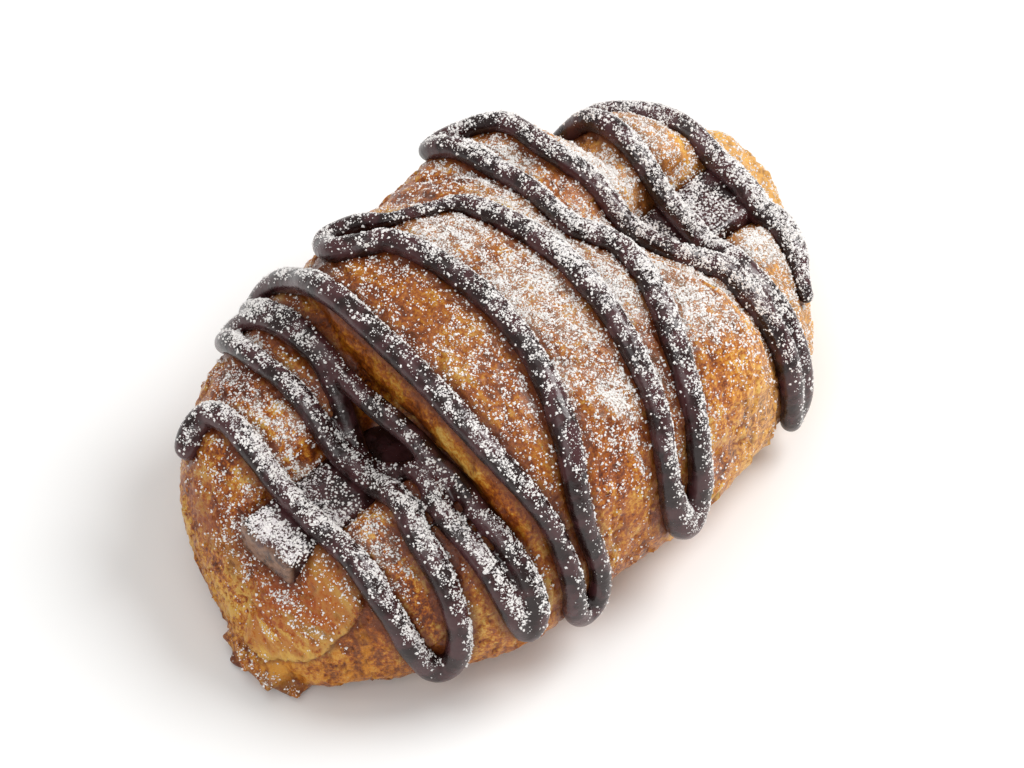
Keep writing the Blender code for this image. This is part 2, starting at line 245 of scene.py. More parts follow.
# %% Shape rules
def between(table, place):
    """The row of a table at this place, by a smooth curve through its rows."""
    last = len(table) - 1
    i = 0
    while i < last - 1 and place > table[i + 1][0]:
        i += 1
    before, start, end, after = (table[min(last, max(0, k))] for k in (i - 1, i, i + 1, i + 2))
    width = end[0] - start[0]
    share = min(1.0, max(0.0, (place - start[0]) / width))
    row = []
    for a, b, c, d in zip(before[1:], start[1:], end[1:], after[1:]):
        slope_in = (c - a) / (end[0] - before[0]) * width
        slope_out = (d - b) / (after[0] - start[0]) * width
        square, cube = share ** 2, share ** 3
        row.append((2 * cube - 3 * square + 1) * b + (cube - 2 * square + share) * slope_in
                   + (3 * square - 2 * cube) * c + (cube - square) * slope_out)
    return row


def power(value, exponent):
    return math.copysign(abs(value) ** exponent, value)


def section(angle, half_width, crest, belly):
    """A point of a rounded-off section, by its angle from the back over the top."""
    side, rise = math.cos(angle), math.sin(angle)
    y = half_width * power(side, ROUNDNESS)
    if rise < 0:
        drop = min(1, FOOT_DROP * abs(rise) ** FOOT_ROUNDNESS)
        return y * (1 - FOOT_TUCK * rise * rise), belly * (1 - drop)
    return y, belly + (crest - belly) * rise ** ROUNDNESS


def body_ring(x, count):
    """A ring round the lower body, with the valley pressed into its top."""
    back, front, back_crest, front_crest, floor = between(BODY, x)
    middle, half = (back + front) / 2, (back - front) / 2
    ring = []
    for k in range(count):
        angle = 2 * math.pi * k / count
        crest = front_crest + (back_crest - front_crest) * (power(math.cos(angle), ROUNDNESS) + 1) / 2
        y, z = section(angle, half, crest, BELLY_SHARE * crest)
        y += middle
        if z > floor:
            z -= (z - floor) / (1 + ((y - VALLEY_MIDDLE) / VALLEY_HALF_WIDTH) ** VALLEY_POWER)
        ring.append((x, y, z))
    return ring


def flap_ring(table, share, angle, reach, crest, count):
    """A ring round a folded flap, at this share of its arc: a slab with rounded edges and a crowned top."""
    left, right = between(table, share)
    half_width = reach[0] if math.cos(angle) > 0 else reach[1]
    y, z = section(angle, half_width, crest, FLAP_BELLY)
    out = Vector((0, math.cos(angle) / half_width, math.sin(angle) / crest)).normalized()
    ring = []
    for k in range(count):
        turn = 2 * math.pi * k / count
        across, depth = power(math.cos(turn), FLAP_ROUNDNESS), power(math.sin(turn), FLAP_ROUNDNESS)
        inward = FLAP_THICKNESS / 2 * (1 - depth) + FLAP_CROWN * across ** 2 * max(0, depth)
        x = (left + right) / 2 + (right - left) / 2 * across
        ring.append(Vector((x, y, z)) - out * inward)
    return ring


# %% [markdown]
# A loft joins the rings with faces and closes both ends with fans. All the dough goes into one mesh at first,
# as shells that run through each other.

# %% Lofts
def loft(mesh, rings):
    """Adds a closed loft through rings of points in the tables' millimetres."""
    rows = [[mesh.verts.new((Vector(point) + SHIFT) * MM) for point in ring] for ring in rings]
    faces = []
    for row, following in zip(rows, rows[1:]):
        for i in range(len(row)):
            j = (i + 1) % len(row)
            faces.append(mesh.faces.new((row[i], row[j], following[j], following[i])))
    for row in (rows[0], rows[-1]):
        middle = mesh.verts.new(sum((vertex.co for vertex in row), Vector()) / len(row))
        for i in range(len(row)):
            faces.append(mesh.faces.new((row[i], row[(i + 1) % len(row)], middle)))
    bmesh.ops.recalc_face_normals(mesh, faces=faces)


def flap_rings(table, arc, reach, crest, steps, count):
    """Rings along a flap, from the foot of its arc to its free edge."""
    start, end = arc
    for i in range(steps + 1):
        angle = math.radians(start + (end - start) * i / steps)
        yield flap_ring(table, i / steps, angle, reach, crest, count)


def body_rings(steps, count):
    """Rings from tip to tip, closer together near both tips."""
    first, last = BODY[0][0], BODY[-1][0]
    for i in range(steps + 1):
        share = 0.25 * (1 - math.cos(math.pi * i / steps)) + 0.5 * i / steps
        yield body_ring(first + (last - first) * share, count)


shells = bmesh.new()
loft(shells, list(body_rings(steps=160, count=120)))
loft(shells, list(flap_rings(FRONT_FLAP, FRONT_ARC, FRONT_REACH, FRONT_CREST, steps=150, count=60)))
loft(shells, list(flap_rings(BACK_FLAP, BACK_ARC, BACK_REACH, BACK_CREST, steps=120, count=60)))
print("dough shells:", len(shells.faces), "faces")

# %% [markdown]
# At the near corner three thin layers of dough have sprung apart, and their corners are burnt. They are
# leaves cut like a fan, a little wavy, each lower than the one before.

# %% Corner layers
CORNER_LAYERS = (  # x, y and height of the tip, and the way that it points, in degrees
    (-62.6, -3.3, 3.8, -165), (-61.9, -8.2, 2.4, -145), (-59, -12, 1.15, -125))
CORNER_SIDE, CORNER_THICKNESS = 14, 2
LEAF_ROWS, LEAF_POINTS, LEAF_ROUNDNESS = 25, 24, 0.6
WAVE_HEIGHT, WAVES = 0.25, 1.1


def corner_leaf(mesh, x, y, height, turn):
    """A square leaf with its tip at this place, pointing this way."""
    angle = math.radians(turn)
    along = Vector((math.cos(angle), math.sin(angle), 0))
    across = Vector((-math.sin(angle), math.cos(angle), 0))
    tip, reach = Vector((x, y, height)), CORNER_SIDE / math.sqrt(2)
    rings = []
    for i in range(LEAF_ROWS):
        back = 2 * reach * (i + 0.15) / LEAF_ROWS
        half = reach - abs(back - reach)
        wave = WAVE_HEIGHT * math.sin(back * WAVES + turn)
        thinning = min(1, 0.35 + back / 6)
        ring = []
        for k in range(LEAF_POINTS):
            turned = 2 * math.pi * k / LEAF_POINTS
            side = power(math.cos(turned), LEAF_ROUNDNESS)
            rise = power(math.sin(turned), LEAF_ROUNDNESS)
            lift = CORNER_THICKNESS / 2 * rise * thinning
            ring.append(tip - along * back + across * half * side + Vector((0, 0, lift + wave)))
        rings.append(ring)
    loft(mesh, rings)


for leaf in CORNER_LAYERS:
    corner_leaf(shells, *leaf)
dough_mesh = bpy.data.meshes.new("dough")
shells.to_mesh(dough_mesh)
shells.free()
dough = placed("dough", dough_mesh)
print("dough with its corner layers:", len(dough_mesh.polygons), "faces")

# %% [markdown]
# A voxel remesh melts the shells into one skin, as dough that touches bakes together. Its grid is even, so
# the relief that comes later has faces wherever it needs them.

# %% One skin
DOUGH_VOXEL = 0.6


def melted(piece, voxel, rounds):
    """The piece as one even skin, softened this many times."""
    remesh = piece.modifiers.new("melt", "REMESH")
    remesh.mode = "VOXEL"
    remesh.voxel_size = voxel * MM
    remesh.use_smooth_shade = True
    soften = piece.modifiers.new("soften", "SMOOTH")
    soften.factor = 0.5
    soften.iterations = rounds
    return plain(piece)


dough = melted(dough, DOUGH_VOXEL, rounds=2)
print("dough skin:", len(dough.data.polygons), "faces")

# %% [markdown]
# ## Relief of the crust
# Baked layers swell, blister and break into flakes with sharp edges. Each of these is a noise of its own
# size, added up as a field in Geometry Nodes, which then moves every point of the skin along its normal.
# Distances round the pastry's own axis let the streaks follow the way that the dough was folded.

# %% Places in a tree, in the tables' millimetres
AXIS_Z, MIDDLE_RADIUS = 14, 30


def grain(tree, place, scale, detail=2, roughness=0.5):
    """A noise that runs between about 0.25 and 0.75, with features of about 1/scale of the place's unit."""
    values = {"Vector": place, "Scale": scale, "Detail": detail, "Roughness": roughness}
    return tree.add("ShaderNodeTexNoise", None, values)["Fac"]


def from_metres(tree, place):
    """A place in metres as one in the tables' millimetres."""
    in_mm = tree.add("ShaderNodeVectorMath", {"operation": "SCALE"}, {"Vector": place, "Scale": 1000})
    return tree.add("ShaderNodeVectorMath", {"operation": "SUBTRACT"}, {
        0: in_mm["Vector"], 1: tuple(SHIFT)})["Vector"]


def split(tree, vector):
    parts = tree.add("ShaderNodeSeparateXYZ", None, {"Vector": vector})
    return parts["X"], parts["Y"], parts["Z"]


def joined(tree, x, y, z):
    return tree.add("ShaderNodeCombineXYZ", None, {"X": x, "Y": y, "Z": z})["Vector"]


def round_the_axis(tree, place):
    """The place as x, the way round the axis in millimetres and the distance from it."""
    x, y, z = split(tree, place)
    rise = z - AXIS_Z
    turn = rise.math("ARCTAN2", rise, y)
    radius = (y * y + rise * rise) ** 0.5
    return x, turn * MIDDLE_RADIUS, radius


def kept(tree, geometry, name, value):
    """The geometry with this value stored on its points, for the finishes to read."""
    return tree.add("GeometryNodeStoreNamedAttribute", {"data_type": "FLOAT"}, {
        "Geometry": geometry, "Name": name, "Value": value})["Geometry"]


# %% [markdown]
# On the near front the top layer of dough ends in a fold, a low step that slants up from the corner. The tree
# makes this step too. It also stores four numbers on every point for the crust's finish: the relief itself,
# the creases where layers part and the gap under the fold, which the finish darkens with painted shade, the
# facet of lower dough below the fold, and the rolled dough above it.

# %% The relief field
FOLD_START, FOLD_SLOPE = (-60, 5), 1.42


def relief_tree():
    tree = geometry_tree("crust_relief", ["Swell", "Flakes", "Blisters", "Streaks", "Layers", "Fold"])
    entry = tree.add("NodeGroupInput")
    place = from_metres(tree, tree.add("GeometryNodeInputPosition")["Position"])
    normal = tree.add("GeometryNodeInputNormal")["Normal"]
    along, round_about, radius = round_the_axis(tree, place)
    _, across, height = split(tree, place)
    swell = grain(tree, place, 1 / 15, 2) - 0.5
    steps = grain(tree, joined(tree, along, round_about * 0.55, radius), 1 / 9, 3, 0.55) * 8
    flakes = steps.math("FRACT", steps) - 0.5
    cells = tree.add("ShaderNodeTexVoronoi", {"feature": "SMOOTH_F1"}, {"Vector": place, "Scale": 0.21})
    blisters = (0.55 - cells["Distance"]) * grain(tree, place, 1 / 11).between(0.42, 0.6)
    streaks = grain(tree, joined(tree, along, round_about * 0.12, radius * 0.2), 0.55, 2) - 0.5
    facing = split(tree, normal)[0]
    wall = facing.math("ABSOLUTE", facing).between(0.6, 0.95)
    ribs = radius * 5
    layers = ribs.math("SINE", ribs) * wall
    over = height - (along - FOLD_START[0]) * FOLD_SLOPE - FOLD_START[1] + (steps - 4) * 0.3
    near_front = (1 - along.between(-49, -44)) * (1 - across.between(-3, 2))
    at_fold = near_front * height.between(4.5, 7)
    fold = over.between(-0.25, 0.25) * (1 - over.between(0.5, 9)) * at_fold
    total = (swell * entry["Swell"] + flakes * entry["Flakes"] + blisters * entry["Blisters"]
             + streaks * entry["Streaks"] + layers * entry["Layers"]) * height.between(0.5, 3)
    total = total * (along + height * 0.5).between(-61, -57)
    total = total + fold * entry["Fold"]
    # the gap under the fold joins the creases, to be darkened with painted shade
    under = over.between(-1.4, -0.2) * (1 - over.between(-0.2, 0.4)) * at_fold
    crease = (1 - (flakes + 0.5).between(0, 0.28)) * grain(tree, place, 1 / 6, 2).between(0.4, 0.6)
    crease = crease.math("MAXIMUM", crease, under)
    facet = (1 - over.between(-0.4, 0)) * near_front
    rolled = over.between(0, 1.5) * near_front
    geometry = entry["Geometry"]
    for name, value in (("relief", total), ("crease", crease), ("facet", facet), ("rolled", rolled)):
        geometry = kept(tree, geometry, name, value)
    offset = tree.add("ShaderNodeVectorMath", {"operation": "SCALE"}, {"Vector": normal, "Scale": total * MM})
    moved = tree.add("GeometryNodeSetPosition", None, {"Geometry": geometry, "Offset": offset["Vector"]})
    tree.add("NodeGroupOutput", None, {"Geometry": moved["Geometry"]})
    return tree


RELIEF = {"Swell": 2.4, "Flakes": 0.55, "Blisters": 0.9, "Streaks": 1.0, "Layers": 0.1, "Fold": 1.5}
dough = grown(dough, relief_tree(), RELIEF)
print("crust relief:", RELIEF)

# %% [markdown]
# ## The chocolate strand
# One strand of chocolate was piped back and forth without a break. Its route is a table of crossings. Each
# place in it is the way along the pastry, the angle round it, measured from the back over the top, and the
# strand's radius there. A ray from outside finds the dough at each place, so that the strand lies on it.

# %% The strand's route
STRAND_LEGS = (  # one crossing each, as places (x, angle, radius)
    ((-49.5, 20, 2.1), (-47.5, 25, 2.4), (-44.3, 31, 2.3), (-43.6, 40, 2.1), (-44.7, 52, 2.1),
     (-45.3, 70, 2.1), (-46.2, 100, 2.1), (-46, 120, 2.1), (-46.5, 142, 2.3), (-46.4, 160, 2.2),
     (-45.7, 174, 2.2), (-44, 187, 2.1)),
    ((-40.6, 189, 2.1), (-39.4, 176, 2.1), (-38.7, 159, 2), (-37.7, 142, 2.3), (-36.4, 130, 2.3),
     (-34.7, 116, 2.2), (-34.2, 88, 2), (-34.5, 66, 1.9), (-34, 52, 1.8), (-33.2, 38, 1.8),
     (-31.8, 25, 2), (-30.2, 18, 1.8)),
    ((-28.2, 22, 1.7), (-27.3, 33, 1.7), (-27, 46, 1.8), (-27.8, 57, 1.8), (-29.4, 65, 1.8),
     (-31.4, 78, 1.8), (-32.6, 92, 1.8), (-32.5, 103, 1.8), (-30.8, 109, 1.8), (-30, 118, 1.9),
     (-31.4, 128, 2), (-32.9, 138, 2), (-32.7, 150, 2), (-32.7, 160, 2), (-32, 170, 2), (-31, 176, 2)),
    ((-28.4, 176, 2), (-28.2, 165, 1.9), (-28.3, 153, 1.9), (-28.6, 140, 1.8), (-28.2, 130, 1.8),
     (-28.2, 117, 1.9), (-28.1, 105, 1.9), (-28.1, 93, 1.9), (-28.1, 80, 1.8), (-27.8, 70, 1.8),
     (-26.6, 57, 1.8), (-25.6, 44, 1.8), (-25.4, 33, 1.8), (-25, 22, 1.8)),
    ((-20.8, 21, 2), (-19.4, 31, 2.2), (-19.8, 43, 2.2), (-21.6, 57, 2.2), (-22.6, 71, 2.1),
     (-23.8, 93, 2.1), (-24.9, 116, 2.1), (-24.8, 130, 2), (-22.9, 144, 1.9), (-21.3, 157, 1.9),
     (-21.2, 171, 2), (-20.4, 184, 2)),
    ((-15.6, 184, 2), (-15.6, 173, 1.9), (-16.5, 158, 1.9), (-16.5, 147, 2.1), (-15, 137, 2.3),
     (-12.4, 127, 2.3), (-10, 115, 2.1), (-8.4, 102, 2.1), (-7.7, 90, 2.1), (-8.5, 70, 2.1),
     (-9.6, 61, 2), (-12.4, 57, 2), (-14.6, 53, 2.1), (-15.3, 48, 2)),
    ((-10.6, 43, 1.9), (-8, 48, 1.7), (-6, 56, 1.2), (-2, 59, 1), (2.5, 61, 1.2), (5.2, 65, 1.8),
     (7.2, 87, 2.1), (7, 99, 2.1), (5.3, 113, 2.1), (3.7, 126, 2), (2.2, 140, 2), (0.6, 153, 1.9),
     (0.3, 166, 2.1), (1.7, 176, 2.6)),
    ((5, 177, 2.6), (6.8, 170, 2.2), (6.8, 159, 2.1), (8.1, 148, 2.1), (10.5, 132, 2.2), (13.8, 119, 2.1),
     (16.2, 107, 2.1), (16, 97, 2), (13.9, 90, 1.9), (14.6, 81, 1.8), (16.1, 69, 1.9), (16.7, 53, 1.9),
     (16.8, 42, 1.9), (15.4, 33, 1.8)),
    ((18.4, 32, 1.8), (22.5, 38, 1.8), (25.4, 45, 1.9), (25.4, 56, 1.9), (27.1, 71, 1.9), (26.9, 90, 1.9),
     (27.8, 108, 2), (30.5, 118, 2.1), (34.5, 128, 2.2), (34.5, 140, 2.3), (34.2, 157, 2.2),
     (33.7, 170, 2.1), (34, 184, 2), (34.2, 191, 1.9)),
    ((36.6, 190, 1.9), (37.2, 175, 2), (38.1, 152, 2), (37.4, 134, 2), (37.6, 116, 2), (38.3, 96, 2),
     (39.5, 68, 2), (40.2, 54, 2), (40.6, 40, 2), (38.5, 30, 2), (36.5, 23, 1.9)),
    ((40, 22, 2), (44, 32, 2), (48.6, 44, 2.1), (51.2, 55, 2.2), (51.5, 67, 2.2), (51, 88, 2.2),
     (50.2, 110, 2.2), (50.5, 124, 2.4), (49.6, 138, 2.3), (47.4, 149, 1.7), (45.7, 157, 1.3),
     (45.3, 161, 1.4)))
STRAND_AXIS_Z, STRAND_LIFT, TURN_DROP = 14, 1.1, 4


def strand_route():
    """The whole route as (x, angle, radius), led round the turn between each two crossings."""
    route = []
    for places in STRAND_LEGS:
        leg = [Vector(place) for place in places]
        if route:
            middle = (route[-1] + leg[0]) / 2
            route.append(middle + Vector((0, TURN_DROP if middle.y > 90 else -TURN_DROP, 0)))
        route += leg
    return route


print("strand route:", len(strand_route()), "points")


# %% [markdown]
# Where the strand spans the gap beside the front fold it hangs on nothing, so a sloped plank, which is never
# shown, holds it up there. The baton is part of the search surface too, because the strand crosses it.

# %% What the strand lies on
BATON = (106.5, 12, 6.5)
BATON_NEAR_TOP, BATON_FAR_TOP, BATON_RUN = 26, 29.5, 105.8
BATON_TILT = math.atan2(BATON_NEAR_TOP - BATON_FAR_TOP, BATON_RUN)
PLANK_ENDS, PLANK_HALF_WIDTH = ((-29.2, 35), (-25, 38)), 11


def tilted(x, y, z):
    """A place on the level baton as it lies in the pastry, in the tables' millimetres."""
    return BATON_MIDDLE + Vector((x * math.cos(BATON_TILT) + z * math.sin(BATON_TILT), y,
                                  z * math.cos(BATON_TILT) - x * math.sin(BATON_TILT)))


def lying_surface(piece):
    """The piece, the baton's top and the plank as one surface that rays can hit."""
    points = [vertex.co for vertex in piece.data.vertices]
    faces = [list(face.vertices) for face in piece.data.polygons]
    first = len(points)
    corners = [tilted(*(size * side for size, side in zip(BATON, sides)))
               for sides in product((-0.5, 0.5), repeat=3)]
    faces.append([first + i for i in (1, 3, 7, 5)])  # the four corners of the baton's top
    corners += [Vector((x, y, z)) for x, z in PLANK_ENDS for y in (-PLANK_HALF_WIDTH, PLANK_HALF_WIDTH)]
    faces.append([first + 8 + i for i in (0, 2, 3, 1)])
    points += [(corner + SHIFT) * MM for corner in corners]
    return BVHTree.FromPolygons(points, faces)


surface = lying_surface(dough)
print("the strand lies on a dough of", len(dough.data.polygons), "faces, the baton and the plank")


# %% [markdown]
# The rays give places some millimetres apart. A smooth curve through them, averaged a few times with its
# neighbours, sags over dips and cuts corners as a thick liquid does.

# %% The strand's middle line
RAY_START = 0.1
CURVE_STEPS, SMOOTHINGS, STRAND_STEP = 8, 14, 0.7


def on_dough(x, angle):
    """Where the strand's middle lies at this place along the pastry and this angle round it."""
    turn = math.radians(angle)
    out = Vector((0, math.cos(turn), math.sin(turn)))
    axis = (Vector((x, 0, STRAND_AXIS_Z)) + SHIFT) * MM
    place, normal, _, _ = surface.ray_cast(axis + out * RAY_START, -out)
    if normal.dot(out) < 0:
        normal = -normal
    return place + (normal + out).normalized() * STRAND_LIFT * MM


def smooth_line(points, steps):
    """A curve through the points, with this many steps between each two."""
    line = []
    for i in range(len(points) - 1):
        before, start = points[max(0, i - 1)], points[i]
        end, after = points[i + 1], points[min(len(points) - 1, i + 2)]
        for k in range(steps):
            t = k / steps
            bend = 2 * before - 5 * start + 4 * end - after
            twist = 3 * start - before - 3 * end + after
            line.append((2 * start + (end - before) * t + bend * t ** 2 + twist * t ** 3) / 2)
    return line + [points[-1]]


def evenly(line, step):
    """The same line, with its points this far apart."""
    lengths = np.concatenate([[0], np.cumsum([(b - a).length for a, b in zip(line, line[1:])])])
    goals = np.linspace(0, lengths[-1], max(2, round(lengths[-1] / step)) + 1)
    columns = [np.interp(goals, lengths, [point[i] for point in line]) for i in range(len(line[0]))]
    return [Vector(point) for point in zip(*columns)]


places = smooth_line(strand_route(), CURVE_STEPS)
middle_line = [Vector((*on_dough(x, angle), radius * MM)) for x, angle, radius in places]
for _ in range(SMOOTHINGS):
    neighbours = zip(middle_line, middle_line[1:], middle_line[2:])
    middle_line[1:-1] = [(a + 2 * b + c) / 4 for a, b, c in neighbours]
middle_line = evenly(middle_line, STRAND_STEP * MM)
print("strand:", round(STRAND_STEP * len(middle_line)), "mm long")

# %% [markdown]
# Piped chocolate is never quite even: it swells where the hand slows down. The width is worked out for each
# point of the line, and Geometry Nodes sweep a round section along it at that width. The remesh after that
# lets strands that touch run into each other, as they do on the real one.

# %% Sweep the strand
SLOW_SWELL, QUICK_SWELL = 0.08, 0.07
STRAND_SIDES, STRAND_VOXEL = 20, 0.48


def unevenness(i, count, radius):
    """The width here as a share of the planned one: rounded off at both ends, uneven between them."""
    from_end = min(i, count - 1 - i) * STRAND_STEP * MM / radius
    rounding = math.sqrt(max(0.02, 1 - max(0, 1 - from_end) ** 2))
    slow = noise.noise(Vector((i * 0.035, 3.1, 0)))
    quick = noise.noise(Vector((i * 0.16, 7.7, 0)))
    return rounding * (1 + SLOW_SWELL * slow + QUICK_SWELL * quick)


def sweep_tree(material):
    tree = geometry_tree("strand_sweep", ["Thickness"])
    entry = tree.add("NodeGroupInput")
    line = tree.add("GeometryNodeMeshToCurve", None, {"Mesh": entry["Geometry"]})
    ring = tree.add("GeometryNodeCurvePrimitiveCircle", None, {
        "Resolution": STRAND_SIDES, "Radius": entry["Thickness"]})
    width = tree.add("GeometryNodeInputNamedAttribute", {"data_type": "FLOAT"}, {"Name": "width"})
    swept = tree.add("GeometryNodeCurveToMesh", None, {
        "Curve": line["Curve"], "Profile Curve": ring["Curve"], "Scale": width["Attribute"],
        "Fill Caps": True})
    real = tree.add("GeometryNodeRealizeInstances", None, {"Geometry": swept["Mesh"]})
    done = tree.add("GeometryNodeSetMaterial", None, {"Geometry": real["Geometry"], "Material": material})
    tree.add("NodeGroupOutput", None, {"Geometry": done["Geometry"]})
    return tree


chocolate = bpy.data.materials.new("chocolate_icing")
line_mesh = bpy.data.meshes.new("strand_line")
links = [(i, i + 1) for i in range(len(middle_line) - 1)]
line_mesh.from_pydata([point[:3] for point in middle_line], links, [])
widths = [point[3] * unevenness(i, len(middle_line), point[3]) for i, point in enumerate(middle_line)]
line_mesh.attributes.new("width", "FLOAT", "POINT").data.foreach_set("value", widths)
strand = grown(placed("strand_line", line_mesh), sweep_tree(chocolate), {"Thickness": 1}, "strand")
print("strand sweep:", len(strand.data.polygons), "faces")
strand = melted(strand, STRAND_VOXEL, rounds=4)
print("strand:", len(strand.data.polygons), "faces")

# %% [markdown]
# ## The baton
# The baton is moulded, so it has flat faces and softly worn edges, and where it was cut its end is a little
# rough. A subdivided block with its edges and corners rounded to a fixed radius round a smaller core keeps it
# one closed form.

# %% Baton
BATON_ROUNDING, BATON_CUTS = 1.4, (110, 14, 8)


def baton_mesh():
    mesh = bmesh.new()
    bmesh.ops.create_cube(mesh, size=2)
    bmesh.ops.subdivide_edges(mesh, edges=mesh.edges, cuts=1, use_grid_fill=True)
    for axis, cuts in enumerate(BATON_CUTS):
        across = [edge for edge in mesh.edges
                  if abs(edge.verts[0].co[axis] - edge.verts[1].co[axis]) > 0.5]
        bmesh.ops.subdivide_edges(mesh, edges=across, cuts=cuts // 2, use_grid_fill=True)
    half = [side / 2 for side in BATON]
    core_half = [side - BATON_ROUNDING for side in half]
    for vertex in mesh.verts:
        place = Vector([vertex.co[i] * half[i] for i in range(3)])
        core = Vector([max(-core_half[i], min(core_half[i], place[i])) for i in range(3)])
        if (place - core).length > 0.001:
            place = core + (place - core).normalized() * BATON_ROUNDING
        bump = noise.noise(place * 0.45) * 0.22 + noise.noise(place * 1.4 + Vector((9, 0, 0))) * 0.1
        vertex.co = (tilted(*(place + Vector((0, 0, bump)))) + SHIFT) * MM
    bmesh.ops.recalc_face_normals(mesh, faces=mesh.faces)
    made = bpy.data.meshes.new("baton")
    mesh.to_mesh(made)
    mesh.free()
    made.shade_smooth()
    return made


baton = placed("baton", baton_mesh())
print("baton:", len(baton.data.polygons), "faces")

# %% [markdown]
# ## Where sugar settles
# Icing sugar is sifted from above and drifts, so it falls at several slants, most of them from the right. It
# stays where the surface faces it, and not in the lee of a strand or a fold. Rays sent back up each fall find
# what is sheltered. The sieve passed unevenly too: some places on this pastry got more or less than the rest,
# and those are written down one by one. The result is kept as a number on each point, for the grains and the
# colours to read. How far the chocolate is gets stored too, because the crust beside it soaks up fat, and its
# finish paints the strand's shadow there.

# %% Dusting field
FALLS = ((0.35, -0.25, 0.88), (0.12, -0.05, 1), (0.5, -0.5, 0.7))  # each points back up its fall
OFF_THE_SKIN, SHELTER_REACH, FAR_MM = 0.0004, 0.06, 1000


def dusting_tree(others):
    tree = geometry_tree("dusting", ["Least facing", "Most facing"])
    entry = tree.add("NodeGroupInput")
    position = tree.add("GeometryNodeInputPosition")["Position"]
    normal = tree.add("GeometryNodeInputNormal")["Normal"]
    above = tree.add("ShaderNodeVectorMath", {"operation": "MULTIPLY_ADD"}, {
        0: normal, 1: (OFF_THE_SKIN,) * 3, 2: position})["Vector"]
    shapes = [entry["Geometry"]]
    for other in others:
        shapes.append(tree.add("GeometryNodeObjectInfo", None, {"Object": other})["Geometry"])
    open_sky = 0
    for fall in FALLS:
        direction = tuple(Vector(fall).normalized())
        seen = 1
        for shape in shapes:
            ray = tree.add("GeometryNodeRaycast", None, {
                "Target Geometry": shape, "Source Position": above, "Ray Direction": direction,
                "Ray Length": SHELTER_REACH})
            seen = (1 - ray["Is Hit"]) * seen
        facing = tree.add("ShaderNodeVectorMath", {"operation": "DOT_PRODUCT"}, {0: normal, 1: direction})
        open_sky = seen * facing["Value"].between(entry["Least facing"], entry["Most facing"]) + open_sky
    place = from_metres(tree, position)
    patches = grain(tree, place, 1 / 9, 2).between(0.3, 0.62) * 0.6 + 0.4
    along, across, _ = split(tree, place)
    beside_cut = along.between(-27, -23) * (1 - along.between(-14, -2)) * (1 - across.between(16, 24))
    low_right = (1 - across.between(-37, -14)) * along.between(9, 17)
    back_left = across.between(16, 24) * along.between(-20, -14) * (1 - along.between(8, 16))
    less = (1 - beside_cut * 0.55) * (1 - low_right * 0.75) * (1 - along.between(53, 57) * 0.7)
    less = less * (1 - back_left * 0.4)
    upward = split(tree, normal)[2].between(0.25, 0.7)
    near_tip = (1 - along.between(-54, -46)) * upward
    left_turns = across.between(20, 27) * (1 - along.between(-18, -8)) * upward
    sugar = (open_sky / len(FALLS) + near_tip * 0.28 + left_turns * 0.15) * patches * less
    near = FAR_MM
    for shape in shapes[1:]:
        away = tree.add("GeometryNodeProximity", {"target_element": "FACES"}, {0: shape})["Distance"] * 1000
        near = away.math("MINIMUM", near, away)
    dusted_points = kept(tree, entry["Geometry"], "sugar", sugar)
    tree.add("NodeGroupOutput", None, {"Geometry": kept(tree, dusted_points, "chocolate_near", near)})
    return tree


dough = grown(dough, dusting_tree([strand, baton]), {"Least facing": 0.3, "Most facing": 0.95})
strand = grown(strand, dusting_tree([dough, baton]), {"Least facing": 0.1, "Most facing": 0.8})
baton = grown(baton, dusting_tree([strand, dough]), {"Least facing": 0.2, "Most facing": 0.85})
print("sugar on", len(dough.data.vertices) + len(strand.data.vertices), "points")

# %% [markdown]
# ## Sugar grains
# Seen close, the dusting is thousands of tiny clumps, each well under a millimetre. Points are scattered by
# the stored number, each gets an eight-sided crumb turned and sized at random, and all are made real as one
# mesh. Coarse and fine crumbs are pieces of their own, so that no mesh gets too heavy.

# %% Scatter
COARSE = {"Density": 10e6, "Smallest": 0.26 * MM, "Largest": 0.66 * MM}  # density in grains per square metre
FINE = {"Density": 20e6, "Smallest": 0.14 * MM, "Largest": 0.32 * MM}
FULL_TURN, SLIMMEST, WIDEST = 6.28, 0.6, 1.3


def sugar_tree(material, seed):
    tree = geometry_tree("sugar_scatter", ["Density", "Smallest", "Largest"])
    entry = tree.add("NodeGroupInput")
    position = tree.add("GeometryNodeInputPosition")["Position"]
    sugar = tree.add("GeometryNodeInputNamedAttribute", {"data_type": "FLOAT"}, {"Name": "sugar"})
    clumps = grain(tree, from_metres(tree, position), 0.7, 2, 0.7).between(0.42, 0.6)
    points = tree.add("GeometryNodeDistributePointsOnFaces", None, {
        "Mesh": entry["Geometry"], "Density": sugar["Attribute"] * clumps * entry["Density"], "Seed": seed})
    crumb = tree.add("GeometryNodeMeshUVSphere", None, {"Segments": 4, "Rings": 2, "Radius": 0.5})
    turn = tree.add("FunctionNodeRandomValue", {"data_type": "FLOAT_VECTOR"}, {
        0: (0, 0, 0), 1: (FULL_TURN,) * 3, "Seed": seed + 1})[0]
    shape = tree.add("FunctionNodeRandomValue", {"data_type": "FLOAT_VECTOR"}, {
        0: (SLIMMEST,) * 3, 1: (WIDEST,) * 3, "Seed": seed + 2})[0]
    size = tree.add("FunctionNodeRandomValue", {"data_type": "FLOAT"}, {
        2: entry["Smallest"], 3: entry["Largest"], "Seed": seed + 3})[1]
    scale = tree.add("ShaderNodeVectorMath", {"operation": "SCALE"}, {"Vector": shape, "Scale": size})
    grains = tree.add("GeometryNodeInstanceOnPoints", None, {
        "Points": points["Points"], "Instance": crumb["Mesh"], "Rotation": turn, "Scale": scale["Vector"]})
    real = tree.add("GeometryNodeRealizeInstances", None, {"Geometry": grains["Instances"]})
    done = tree.add("GeometryNodeSetMaterial", None, {"Geometry": real["Geometry"], "Material": material})
    tree.add("NodeGroupOutput", None, {"Geometry": done["Geometry"]})
    return tree


